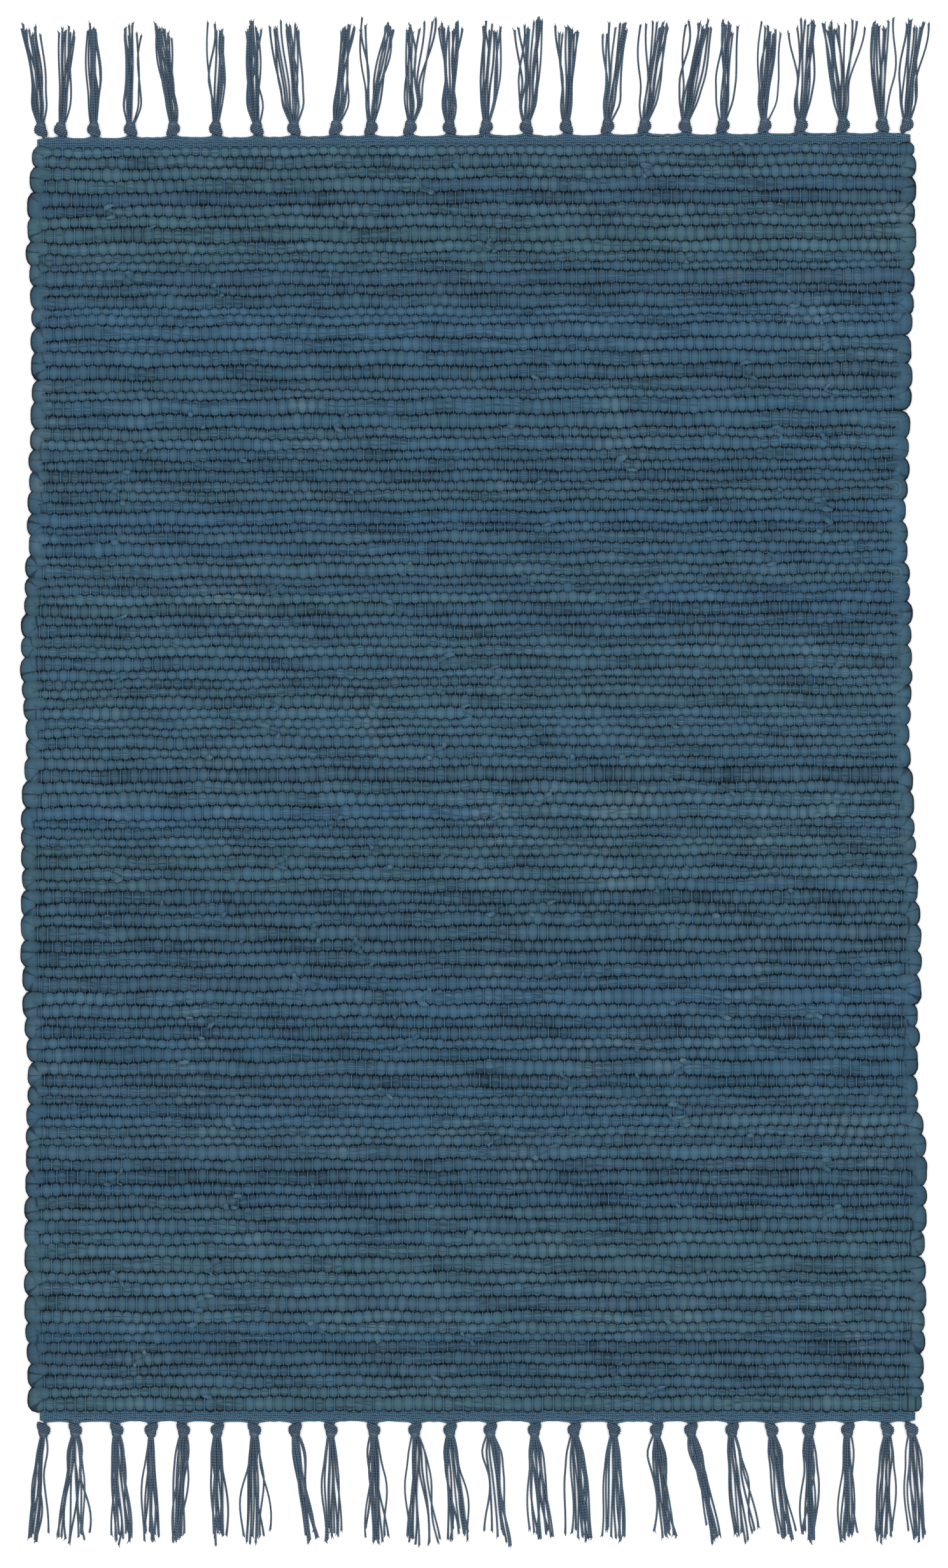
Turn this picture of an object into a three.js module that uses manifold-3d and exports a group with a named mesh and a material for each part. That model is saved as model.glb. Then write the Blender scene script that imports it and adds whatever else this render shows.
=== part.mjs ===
// A flat rag rug as it lies on a floor: a ribbed body of thick rag rows, a fine woven heading along each
// end, and a row of knotted tassels beyond each heading.
// Millimetres. +Z is up from the floor, +X runs across the rug and +Y to its far end. The origin is on the
// floor under the middle of the woven body.

import * as THREE from "three";
import Module from "manifold-3d";

// Clearance left between one piece and the next
const CLEARANCE = 0.3;

// Woven body
const RUG_WIDTH = 600;
const BODY_END = 427.7;
const ROW_COUNT = 112;
const ROW_UNEVENNESS = 0.28;
const ROW_WANDER = 1.1;
const FAR_TILT = 3.5;
const VALLEY_HEIGHT = 3.8;
const CREST_HEIGHT = 5.8;
const CREST_UNEVENNESS = 0.4;
const CREST_START = 0.28;
const CREST_END = 0.72;

// Loops of rag at the sides, each taking in two rows
const LOOP_HEIGHT = 6.2;
const LOOP_BULGE = 2.6;
const LOOP_CROWN = 4.6;
const LOOP_REACH = 11.5;
const RIM_HEIGHT = 3;
const SOLE_INSET = 2.2;

// Headings
const HEADING_DEPTH = 7.2;
const HEADING_INSET = 3;
const HEADING_PULL = 1.5;
const HEADING_HEIGHT = 3;
const HEADING_BACK = 2.6;
const HEADING_RIM = 1.3;

// Knots
const KNOT_HALF_WIDTH = 4.2;
const KNOT_HALF_HEIGHT = 3.7;
const KNOT_BACK = 3.4;
const KNOT_FRONT = 4.4;
const KNOT_SIDES = 6;
const KNOT_SLANT = 0.3;

// Strands
const STRAND_COUNT = 5;
const STRAND_WIDTH = 1.3;
const STRAND_HEIGHT = 1.6;
const STRAND_UNEVENNESS = 4;
const BRUSH_HALF_WIDTH = 3.6;
const FAR_LENGTH = 70;
const NEAR_LENGTH = 74.5;

// Where the two sides of the body lie, from the far end to the near end
const SIDES = [
  { along: 428, left: -297, right: 299 },
  { along: 359, left: -300, right: 298.5 },
  { along: 290, left: -296.5, right: 296.5 },
  { along: 170, left: -299.5, right: 293 },
  { along: 83, left: -304, right: 296.5 },
  { along: 32, left: -301, right: 295 },
  { along: -37, left: -304, right: 298.5 },
  { along: -106, left: -304.5, right: 302 },
  { along: -210, left: -299.5, right: 300 },
  { along: -261, left: -301.5, right: 307 },
  { along: -348, left: -301.5, right: 305.5 },
  { along: -428, left: -299, right: 304 },
];

// Rings of a knot from the heading outwards. along: share of the way from back to front. girth: share of
// the knot's half width and half height.
const KNOT_RINGS = [
  { along: 0, girth: 0.62 },
  { along: 0.45, girth: 1 },
  { along: 1, girth: 0.85 },
];

// Stations along a strand. along: share of its length. drift: share of its sideways lean. brush: share of
// the brush's half width that it stands out by. fan: share of its place among the tips, likewise. lift:
// height of its underside. girth: share of its width and height.
const STRAND_STATIONS = [
  { along: 0.033, drift: 0, brush: 0.53, fan: 0, lift: 2.6, girth: 0.6 },
  { along: 0.13, drift: 0.08, brush: 1, fan: 0, lift: 0, girth: 1 },
  { along: 0.55, drift: 0.5, brush: 0.5, fan: 0.5, lift: 0, girth: 0.95 },
  { along: 1, drift: 1, brush: 0, fan: 1, lift: 0, girth: 0.75 },
];

// Tassels of the far end from left to right. across: place of the knot. lean: how far the tips drift to
// the right. spread: half the width of the tips. part: how far the tips part into two locks, 0 to 1.
// stray: how far one end strand strays past the others.
const FAR_TASSELS = [
  { across: -291.6, lean: -6.5, spread: 9 },
  { across: -278.2, lean: 2, spread: 8 },
  { across: -255.8, lean: -1, spread: 3.8, stray: 3 },
  { across: -231, lean: 0.5, spread: 7 },
  { across: -202.1, lean: -8.5, spread: 5 },
  { across: -173.3, lean: 0, spread: 7, part: 0.4 },
  { across: -145.5, lean: -3, spread: 4.6 },
  { across: -120.5, lean: -8, spread: 9, part: 0.3, stray: 4 },
  { across: -92.2, lean: 7, spread: 6 },
  { across: -68.3, lean: 4.5, spread: 11.5, part: 0.5 },
  { across: -42, lean: -1, spread: 5, stray: 12 },
  { across: -15.3, lean: 0.5, spread: 6, part: 0.3 },
  { across: 9.5, lean: 3.5, spread: 8 },
  { across: 36.7, lean: 3, spread: 9 },
  { across: 63.8, lean: 2.5, spread: 8 },
  { across: 91.6, lean: 7, spread: 9, part: 0.3 },
  { across: 116.6, lean: 8, spread: 10.5 },
  { across: 144.2, lean: 11.5, spread: 9.5 },
  { across: 169.6, lean: 3.5, spread: 5, stray: 14 },
  { across: 197.9, lean: 6.5, spread: 7.5 },
  { across: 222.5, lean: 2.5, spread: 8.4, part: 0.4 },
  { across: 250.9, lean: 2, spread: 15.5 },
  { across: 277.6, lean: 1.5, spread: 8.5 },
  { across: 294, lean: 6.8, spread: 8.5 },
];

// Tassels of the near end, likewise
const NEAR_TASSELS = [
  { across: -289.8, lean: -5, spread: 8 },
  { across: -268.3, lean: -2, spread: 10.5, part: 0.4 },
  { across: -240.3, lean: 4, spread: 6, part: 0.3 },
  { across: -217, lean: 0, spread: 9.5 },
  { across: -195.3, lean: -5, spread: 3.8 },
  { across: -172.3, lean: 2.5, spread: 5 },
  { across: -147.2, lean: 0, spread: 10 },
  { across: -119.7, lean: 11.5, spread: 3.8 },
  { across: -95.5, lean: 1.5, spread: 7 },
  { across: -66.6, lean: 2, spread: 8 },
  { across: -38.6, lean: -1, spread: 5, stray: 13 },
  { across: -14.9, lean: 7, spread: 7.5, part: 0.3 },
  { across: 12.3, lean: 6.5, spread: 8, part: 0.3 },
  { across: 42.2, lean: 7, spread: 9 },
  { across: 69.1, lean: 3, spread: 10.5, part: 0.3 },
  { across: 95.9, lean: 0.5, spread: 9.5 },
  { across: 124.8, lean: 8, spread: 9.5 },
  { across: 148, lean: 16.5, spread: 3.8 },
  { across: 175.8, lean: 10, spread: 8 },
  { across: 202.6, lean: 10.5, spread: 7 },
  { across: 227.8, lean: 0.5, spread: 4.6 },
  { across: 254.1, lean: 1, spread: 6 },
  { across: 280.8, lean: -2.5, spread: 7.5 },
  { across: 297.2, lean: 4, spread: 7 },
];

const UP = new THREE.Vector3(0, 0, 1);

const wasm = await Module();
wasm.setup();

// A repeatable unevenness between -1 and 1 for a whole number.
function uneven(seed) {
  const wave = Math.sin(seed * 12.9898) * 43758.5453;
  return 2 * (wave - Math.floor(wave)) - 1;
}

// A closed solid through matching rings of points, which run from up to right as seen facing the way the
// rings follow each other.
function loft(rings) {
  const sides = rings[0].length;
  const last = (rings.length - 1) * sides;
  const index = [];
  for (let start = 0; start < last; start += sides) {
    for (let side = 0; side < sides; side += 1) {
      const a = start + side;
      const b = start + ((side + 1) % sides);
      index.push(a, b, b + sides, a, b + sides, a + sides);
    }
  }
  for (let side = 1; side + 1 < sides; side += 1) {
    index.push(0, side + 1, side, last, last + side, last + side + 1);
  }
  const geometry = new THREE.BufferGeometry().setFromPoints(rings.flat());
  return geometry.setIndex(index);
}

// One geometry from several that overlap.
function fuse(geometries) {
  const solids = geometries.map((geometry) => {
    const vertProperties = new Float32Array(geometry.attributes.position.array);
    const triVerts = new Uint32Array(geometry.index.array);
    return new wasm.Manifold(new wasm.Mesh({ numProp: 3, vertProperties, triVerts }));
  });
  const { vertProperties, triVerts } = wasm.Manifold.union(solids).getMesh();
  const geometry = new THREE.BufferGeometry();
  geometry.setAttribute("position", new THREE.BufferAttribute(vertProperties, 3));
  return geometry.setIndex(new THREE.BufferAttribute(triVerts, 1));
}

// The left and right edges of the body at a place along the rug.
function sidesAt(along) {
  const place = SIDES.findIndex((row) => row.along <= along);
  const before = SIDES[place - 1];
  const after = SIDES[place];
  const share = THREE.MathUtils.smoothstep(along, after.along, before.along);
  return {
    left: THREE.MathUtils.lerp(after.left, before.left, share),
    right: THREE.MathUtils.lerp(after.right, before.right, share),
  };
}

// How far a row lies out of square: most along the far end, none along the near end.
function tiltAt(along, across) {
  const share = (along + BODY_END) / (2 * BODY_END);
  return FAR_TILT * share * (across / RUG_WIDTH);
}

// The mean place of each line between two rows, from the near end to the far end.
function rowLines() {
  const lines = [0];
  for (let row = 0; row < ROW_COUNT; row += 1) {
    lines.push(lines[row] + 1 + ROW_UNEVENNESS * uneven(row + 1));
  }
  const scale = (2 * BODY_END) / lines[ROW_COUNT];
  return lines.map((line) => line * scale - BODY_END);
}

// How far a loop at a side swells at a place counted in rows: 0 in a notch and 1 in the middle of a loop.
function swell(place, firstNotch) {
  return Math.sin((Math.PI / 2) * ((place + firstNotch) % 2));
}

// One ring of the body, across the rug. share: how far into the row it lies.
function bodyRing(lines, row, share) {
  const { left, right } = sidesAt(lines[row]);
  const crest = CREST_HEIGHT + CREST_UNEVENNESS * uneven(row + 500);
  const height = share === 0 ? VALLEY_HEIGHT : crest;
  const lineAt = (line, column, across) => {
    const inside = line > 0 && line < ROW_COUNT;
    const wander = inside ? ROW_WANDER * uneven(7 * line + column) : 0;
    return lines[line] + wander + tiltAt(lines[line], across);
  };
  const alongAt = (column, across) => {
    const start = lineAt(row, column, across);
    return share === 0 ? start : THREE.MathUtils.lerp(start, lineAt(row + 1, column, across), share);
  };
  const leftSwell = swell(row + share, 0);
  const rightSwell = swell(row + share, 1);
  const leftAlong = alongAt(1, left);
  const rightAlong = alongAt(3, right);
  const loopHeight = (amount) => VALLEY_HEIGHT + (LOOP_HEIGHT - VALLEY_HEIGHT) * Math.sqrt(amount);
  const point = (across, along, up) => new THREE.Vector3(across, along, up);
  return [
    point(left + SOLE_INSET, leftAlong, 0),
    point(left - LOOP_BULGE * (leftSwell - 0.5), leftAlong, RIM_HEIGHT),
    point(left + LOOP_CROWN, leftAlong, loopHeight(leftSwell)),
    point(left + LOOP_REACH, leftAlong, height),
    point((left + right) / 2, alongAt(2, 0), height),
    point(right - LOOP_REACH, rightAlong, height),
    point(right - LOOP_CROWN, rightAlong, loopHeight(rightSwell)),
    point(right + LOOP_BULGE * (rightSwell - 0.5), rightAlong, RIM_HEIGHT),
    point(right - SOLE_INSET, rightAlong, 0),
  ];
}

// The ribbed body, with three rings to each row: the valley before it and the two edges of its crest.
function wovenBody() {
  const lines = rowLines();
  const rings = [];
  for (let row = 0; row < ROW_COUNT; row += 1) {
    rings.push(...[0, CREST_START, CREST_END].map((share) => bodyRing(lines, row, share)));
  }
  rings.push(bodyRing(lines, ROW_COUNT, 0));
  return loft(rings);
}

// Where a heading's outer edge lies before it is pulled out at the knots. end: 1 far, -1 near.
function headingEdge(end, across) {
  const inner = BODY_END + CLEARANCE + HEADING_DEPTH;
  return end * inner + tiltAt(end * BODY_END, across);
}

// A heading, drawn out a little at each knot and slack between them.
function heading(end, tassels) {
  const { left, right } = sidesAt(end * BODY_END);
  const knots = tassels.map((tassel) => ({ across: tassel.across, pull: HEADING_PULL }));
  const slacks = tassels.slice(1).map((tassel, place) => ({
    across: (tassel.across + tassels[place].across) / 2,
    pull: 0,
  }));
  const tips = [left + HEADING_INSET, right - HEADING_INSET].map((across) => ({ across, pull: 0 }));
  const stations = [...knots, ...slacks, ...tips].sort((a, b) => end * (a.across - b.across));
  return loft(stations.map(({ across, pull }) => {
    const outer = headingEdge(end, across) + end * pull;
    const inner = headingEdge(end, across) - end * HEADING_DEPTH;
    const at = (share, up) => new THREE.Vector3(across, THREE.MathUtils.lerp(inner, outer, share), up);
    return [at(0, 0), at(1, 0), at(1, HEADING_RIM), at(0.6, HEADING_HEIGHT), at(0, HEADING_BACK)];
  }));
}

// A six-sided knot that stands on one of its flats. slant: how far its wraps run aslant.
function knot(base, way, slant) {
  const rightward = new THREE.Vector3().crossVectors(way, UP);
  const flat = Math.cos(Math.PI / KNOT_SIDES);
  return loft(KNOT_RINGS.map(({ along, girth }) => {
    const ring = [];
    for (let side = 0; side < KNOT_SIDES; side += 1) {
      const turn = (2 * Math.PI * (side + 0.5)) / KNOT_SIDES;
      const aside = girth * KNOT_HALF_WIDTH * Math.sin(turn);
      const point = base.clone();
      point.addScaledVector(way, along * (KNOT_BACK + KNOT_FRONT) - KNOT_BACK);
      point.addScaledVector(way, slant * aside * Math.sin(Math.PI * along));
      point.addScaledVector(rightward, aside);
      point.z = KNOT_HALF_HEIGHT * (flat + girth * Math.cos(turn));
      ring.push(point);
    }
    return ring;
  }));
}

// A three-sided strand through places on a path, lying flat wherever its lift is none.
function strand(path) {
  return loft(path.map(({ point, girth }, place) => {
    const before = path[Math.max(place - 1, 0)].point;
    const after = path[Math.min(place + 1, path.length - 1)].point;
    const way = after.clone().sub(before).setZ(0).normalize();
    const aside = new THREE.Vector3().crossVectors(way, UP).multiplyScalar((girth * STRAND_WIDTH) / 2);
    const ridge = point.clone().addScaledVector(UP, girth * STRAND_HEIGHT);
    return [point.clone().sub(aside), ridge, point.clone().add(aside)];
  }));
}

// A knot with its strands fanned out over the floor.
function tassel(end, { across, lean, spread, part = 0, stray = 0 }, seed) {
  const way = new THREE.Vector3(0, end, 0);
  const edge = headingEdge(end, across) + end * (HEADING_PULL + CLEARANCE);
  const base = new THREE.Vector3(across, edge + end * KNOT_BACK, 0);
  const length = end > 0 ? FAR_LENGTH : NEAR_LENGTH;
  const pieces = [knot(base, way, KNOT_SLANT * uneven(seed))];
  for (let number = 0; number < STRAND_COUNT; number += 1) {
    const place = (2 * number) / (STRAND_COUNT - 1) - 1;
    const side = place < 0 ? -1 : 1;
    const tip = spread * side * (part + (1 - part) * Math.abs(place));
    const sway = lean + (number === STRAND_COUNT - 1 ? stray : 0);
    const reach = length + STRAND_UNEVENNESS * uneven(seed + number);
    pieces.push(strand(STRAND_STATIONS.map(({ along, drift, brush, fan, lift, girth }) => {
      const aside = drift * sway + brush * place * BRUSH_HALF_WIDTH + fan * tip;
      return { point: new THREE.Vector3(across + aside, base.y + end * along * reach, lift), girth };
    })));
  }
  return fuse(pieces);
}

const rug = new THREE.Group();

// Adds one piece to the rug.
function add(name, geometry, color) {
  const material = new THREE.MeshStandardMaterial({ color, roughness: 0.95, metalness: 0 });
  const mesh = new THREE.Mesh(geometry, material);
  mesh.name = name;
  rug.add(mesh);
}

add("woven_body", wovenBody(), "#385364");
add("heading_far", heading(1, FAR_TASSELS), "#2f4a63");
add("heading_near", heading(-1, NEAR_TASSELS), "#2f4a63");
FAR_TASSELS.forEach((row, place) => {
  const number = String(place + 1).padStart(2, "0");
  add(`tassel_far_${number}`, tassel(1, row, 20 * place), "#3d5a75");
});
NEAR_TASSELS.forEach((row, place) => {
  const number = String(place + 1).padStart(2, "0");
  add(`tassel_near_${number}`, tassel(-1, row, 20 * place + 900), "#3d5a75");
});

export default rug;
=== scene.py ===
"""A hand-woven cotton rag rug with knotted fringes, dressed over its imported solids.

One rag weft runs back and forth through a cotton warp, a fine woven heading holds each end, and the warp
ends are knotted into tassels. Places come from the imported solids. Guides are worked out in millimetres,
and the meshes are in metres, with +X across the rug, +Y to its far end and +Z up from the floor.
"""

import logging
import math
from dataclasses import dataclass, field
from enum import Enum
from functools import partial
from typing import Any

import bpy
import numpy as np
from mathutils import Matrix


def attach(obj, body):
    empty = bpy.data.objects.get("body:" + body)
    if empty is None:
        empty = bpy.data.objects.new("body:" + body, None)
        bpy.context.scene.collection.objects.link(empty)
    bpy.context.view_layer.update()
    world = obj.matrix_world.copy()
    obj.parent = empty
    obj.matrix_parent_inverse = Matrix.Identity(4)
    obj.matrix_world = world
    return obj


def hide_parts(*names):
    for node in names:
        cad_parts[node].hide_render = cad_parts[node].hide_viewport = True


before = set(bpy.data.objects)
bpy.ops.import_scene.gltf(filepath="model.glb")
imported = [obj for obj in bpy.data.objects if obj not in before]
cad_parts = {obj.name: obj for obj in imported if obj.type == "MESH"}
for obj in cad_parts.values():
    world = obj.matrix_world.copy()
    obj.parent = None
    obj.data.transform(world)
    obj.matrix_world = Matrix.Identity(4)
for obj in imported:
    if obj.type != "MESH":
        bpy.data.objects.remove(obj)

LOG = logging.getLogger("rag_rug")
MM = 0.001
BODY = "root"
TASSELS = 24

Socket = bpy.types.NodeSocket
Tree = bpy.types.NodeTree
Array = np.ndarray


class End(Enum):
    """The two ends of the rug, by the way their tassels point along Y."""

    FAR = 1
    NEAR = -1

    @property
    def label(self) -> str:
        """The word for this end in the names of pieces and nodes."""
        return self.name.lower()


class Side(Enum):
    """The two sides of the rug, by their way along X."""

    LEFT = -1
    RIGHT = 1


class Slot(Enum):
    """The record's material slots."""

    WEAVE = "rag_weave"
    HEADING = "heading_cotton"
    FRINGE = "fringe_cotton"


def linear(hex_colour: str) -> tuple[float, float, float, float]:
    """Turns an sRGB hex colour into linear light.

    Args:
        hex_colour: Six hex digits after a hash.

    Returns:
        Red, green, blue and an alpha of one.
    """
    parts = [int(hex_colour[i : i + 2], 16) / 255 for i in (1, 3, 5)]
    light = [c / 12.92 if c <= 0.04045 else ((c + 0.055) / 1.055) ** 2.4 for c in parts]
    return (light[0], light[1], light[2], 1.0)


def add_node(tree: Tree, kind: str, inputs: dict[Any, Any] | None = None, **settings: Any) -> bpy.types.Node:
    """Adds one node to a tree with its settings, values and links.

    Args:
        tree: The node tree.
        kind: The node's type name.
        inputs: Values or output sockets by input name or number.
        **settings: The node's own properties, set before its inputs.

    Returns:
        The new node.
    """
    node = tree.nodes.new(kind)
    for key, value in settings.items():
        setattr(node, key, value)
    for key, value in (inputs or {}).items():
        if isinstance(value, Socket):
            tree.links.new(value, node.inputs[key])
        else:
            node.inputs[key].default_value = value
    return node


def solid_points(node: str) -> Array:
    """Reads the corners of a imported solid.

    Args:
        node: The solid's name.

    Returns:
        Its separate corners, in millimetres.
    """
    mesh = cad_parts[node].data
    flat = np.zeros(len(mesh.vertices) * 3, np.float32)
    mesh.vertices.foreach_get("co", flat)
    return np.unique(np.round(flat.reshape(-1, 3) / MM, 2), axis=0)


def fit(piece: bpy.types.Object, slot: Slot, *nodes: str) -> None:
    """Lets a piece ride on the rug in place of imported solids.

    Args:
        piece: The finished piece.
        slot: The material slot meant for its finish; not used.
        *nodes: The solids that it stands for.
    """
    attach(piece, BODY)
    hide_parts(*nodes)


@dataclass
class Path:
    """One strand of a guide: its middle line and its half sizes, in millimetres.

    Attributes:
        points: Places along the strand, one to a row.
        half_width: Half size sideways at each place.
        half_height: Half size upwards at each place.
        strip: A number of its own that picks its shade and folds.
    """

    points: Array
    half_width: Array
    half_height: Array
    strip: float

    @property
    def travel(self) -> Array:
        """The length along the strand at each place."""
        steps = np.linalg.norm(np.diff(self.points, axis=0), axis=1)
        return np.concatenate([[0.0], np.cumsum(steps)])


class Sweep:
    """Geometry nodes that sweep a closed section along every strand of a guide.

    The guide's points carry half_width, half_height, travel and strip. The mesh keeps travel, strip and
    turn, the place around the section as its cosine and sine, for the materials.
    """

    SIDES = "Sides"
    SQUARENESS = "Squareness"
    FOLD_DEPTH = "Fold Depth"
    FOLD_LENGTH = "Fold Length"
    FOLD_COUNT = "Fold Count"
    MATERIAL = "Material"

    def __init__(self) -> None:
        """Builds the tree with its named inputs."""
        self.tree = bpy.data.node_groups.new("strand_sweep", "GeometryNodeTree")
        face = self.tree.interface
        face.new_socket("Geometry", in_out="INPUT", socket_type="NodeSocketGeometry")
        self.identifiers = {
            name: face.new_socket(name, in_out="INPUT", socket_type=kind).identifier
            for name, kind in (
                (self.SIDES, "NodeSocketInt"),
                (self.SQUARENESS, "NodeSocketFloat"),
                (self.FOLD_DEPTH, "NodeSocketFloat"),
                (self.FOLD_LENGTH, "NodeSocketFloat"),
                (self.FOLD_COUNT, "NodeSocketFloat"),
                (self.MATERIAL, "NodeSocketMaterial"),
            )
        }
        face.new_socket("Geometry", in_out="OUTPUT", socket_type="NodeSocketGeometry")
        self._wire()

    def _wire(self) -> None:
        """Adds and links the nodes."""
        add = partial(add_node, self.tree)
        source = add("NodeGroupInput").outputs
        curve = add("GeometryNodeMeshToCurve", {"Mesh": source["Geometry"]}).outputs["Curve"]
        curve = add("GeometryNodeSetCurveNormal", {"Curve": curve}, mode="Z_UP").outputs["Curve"]
        normal = add("GeometryNodeInputNormal").outputs["Normal"]
        tangent = add("GeometryNodeInputTangent").outputs["Tangent"]
        upward = add("ShaderNodeVectorMath", {0: normal, 1: tangent}, operation="CROSS_PRODUCT")
        place = add("GeometryNodeInputPosition").outputs["Position"]
        for name, value in (("centre", place), ("aside", normal), ("upward", upward.outputs["Vector"])):
            curve = self._store(curve, name, value)
        ring = add(
            "GeometryNodeCurvePrimitiveCircle", {"Resolution": source[self.SIDES], "Radius": 1.0}, mode="RADIUS"
        ).outputs["Curve"]
        upright = {"Geometry": ring, "Rotation": (0.0, 0.0, math.pi / 2)}
        ring = add("GeometryNodeTransform", upright).outputs["Geometry"]
        ring = self._store(ring, "turn", place)
        mesh = add(
            "GeometryNodeCurveToMesh", {"Curve": curve, "Profile Curve": ring, "Fill Caps": True}
        ).outputs["Mesh"]
        mesh = add(
            "GeometryNodeSetPosition", {"Geometry": mesh, "Position": self._surface(source)}
        ).outputs["Geometry"]
        for name in ("centre", "aside", "upward", "half_width", "half_height"):
            mesh = add("GeometryNodeRemoveAttribute", {"Geometry": mesh, "Name": name}).outputs["Geometry"]
        mesh = add("GeometryNodeSetShadeSmooth", {"Geometry": mesh}).outputs["Geometry"]
        mesh = add("GeometryNodeRealizeInstances", {"Geometry": mesh}).outputs["Geometry"]
        mesh = add(
            "GeometryNodeSetMaterial", {"Geometry": mesh, "Material": source[self.MATERIAL]}
        ).outputs["Geometry"]
        add("NodeGroupOutput", {"Geometry": mesh})

    def _store(self, geometry: Socket, name: str, value: Socket) -> Socket:
        """Keeps a vector on every point under a name.

        Args:
            geometry: The geometry to write on.
            name: The attribute's name.
            value: The vector.

        Returns:
            The geometry with the attribute.
        """
        node = add_node(
            self.tree,
            "GeometryNodeStoreNamedAttribute",
            {"Geometry": geometry, "Name": name, "Value": value},
            data_type="FLOAT_VECTOR",
            domain="POINT",
        )
        return node.outputs["Geometry"]

    def _read(self, name: str, data_type: str) -> Socket:
        """Reads an attribute by name.

        Args:
            name: The attribute's name.
            data_type: FLOAT or FLOAT_VECTOR.

        Returns:
            The attribute's value.
        """
        node = add_node(self.tree, "GeometryNodeInputNamedAttribute", {"Name": name}, data_type=data_type)
        return node.outputs["Attribute"]

    def _surface(self, source: Any) -> Socket:
        """Works out where each point of the swept skin lies.

        The section is a rounded box whose radius swells and sinks in long folds, and nothing goes below
        the floor.

        Args:
            source: The outputs of the tree's input node.

        Returns:
            The place of each point.
        """
        add = partial(add_node, self.tree)
        turn = add("ShaderNodeSeparateXYZ", {0: self._read("turn", "FLOAT_VECTOR")}).outputs
        travel = self._read("travel", "FLOAT")
        strip = self._read("strip", "FLOAT")
        along = add("ShaderNodeMath", {0: travel, 1: source[self.FOLD_LENGTH]}, operation="DIVIDE")
        count = source[self.FOLD_COUNT]
        around = [
            add("ShaderNodeMath", {0: turn[axis], 1: count}, operation="MULTIPLY").outputs[0]
            for axis in ("X", "Y")
        ]
        where = add(
            "ShaderNodeCombineXYZ", {"X": around[0], "Y": around[1], "Z": along.outputs[0]}
        ).outputs["Vector"]
        folds = add(
            "ShaderNodeTexNoise",
            {"Vector": where, "W": strip, "Scale": 1.0, "Detail": 1.0},
            noise_dimensions="4D",
        ).outputs["Fac"]
        level = add("ShaderNodeMath", {0: folds, 1: 2.0, 2: -1.0}, operation="MULTIPLY_ADD").outputs[0]
        swell = add(
            "ShaderNodeMath", {0: level, 1: source[self.FOLD_DEPTH], 2: 1.0}, operation="MULTIPLY_ADD"
        ).outputs[0]
        offsets = []
        for axis, size, way in (("X", "half_width", "aside"), ("Y", "half_height", "upward")):
            reach = add("ShaderNodeMath", {0: turn[axis]}, operation="ABSOLUTE").outputs[0]
            reach = add(
                "ShaderNodeMath", {0: reach, 1: source[self.SQUARENESS]}, operation="POWER"
            ).outputs[0]
            side = add("ShaderNodeMath", {0: turn[axis]}, operation="SIGN").outputs[0]
            for factor in (side, swell, self._read(size, "FLOAT")):
                reach = add("ShaderNodeMath", {0: reach, 1: factor}, operation="MULTIPLY").outputs[0]
            offsets.append(
                add(
                    "ShaderNodeVectorMath",
                    {0: self._read(way, "FLOAT_VECTOR"), "Scale": reach},
                    operation="SCALE",
                ).outputs["Vector"]
            )
        place = self._read("centre", "FLOAT_VECTOR")
        for offset in offsets:
            place = add("ShaderNodeVectorMath", {0: place, 1: offset}, operation="ADD").outputs["Vector"]
        floor = (-1.0e3, -1.0e3, 0.0)
        return add("ShaderNodeVectorMath", {0: place, 1: floor}, operation="MAXIMUM").outputs["Vector"]

    def make(self, name: str, paths: list[Path], material: bpy.types.Material, **values: float) -> bpy.types.Object:
        """Sweeps a section along paths and returns the result as a plain mesh.

        Args:
            name: The piece's name.
            paths: The strands to follow.
            material: The piece's finish.
            **values: sides, squareness, fold_depth, fold_length in millimetres and fold_count.

        Returns:
            The finished object, at the origin.
        """
        guide = self._guide(name, paths)
        modifier = guide.modifiers.new("sweep", "NODES")
        modifier.node_group = self.tree
        sizes = {"sides": 6, "squareness": 1.0, "fold_depth": 0.0, "fold_length": 30.0, "fold_count": 1.0, **values}
        for key, value in sizes.items():
            modifier[self.identifiers[key.replace("_", " ").title()]] = value
        modifier[self.identifiers[self.MATERIAL]] = material
        bpy.context.view_layer.update()
        depsgraph = bpy.context.evaluated_depsgraph_get()
        mesh = bpy.data.meshes.new_from_object(
            guide.evaluated_get(depsgraph), preserve_all_data_layers=True, depsgraph=depsgraph
        )
        mesh.name = name
        bpy.data.objects.remove(guide)
        piece = bpy.data.objects.new(name, mesh)
        bpy.context.scene.collection.objects.link(piece)
        mesh.calc_loop_triangles()
        LOG.info("%s: %d strands, %d triangles", name, len(paths), len(mesh.loop_triangles))
        return piece

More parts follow.
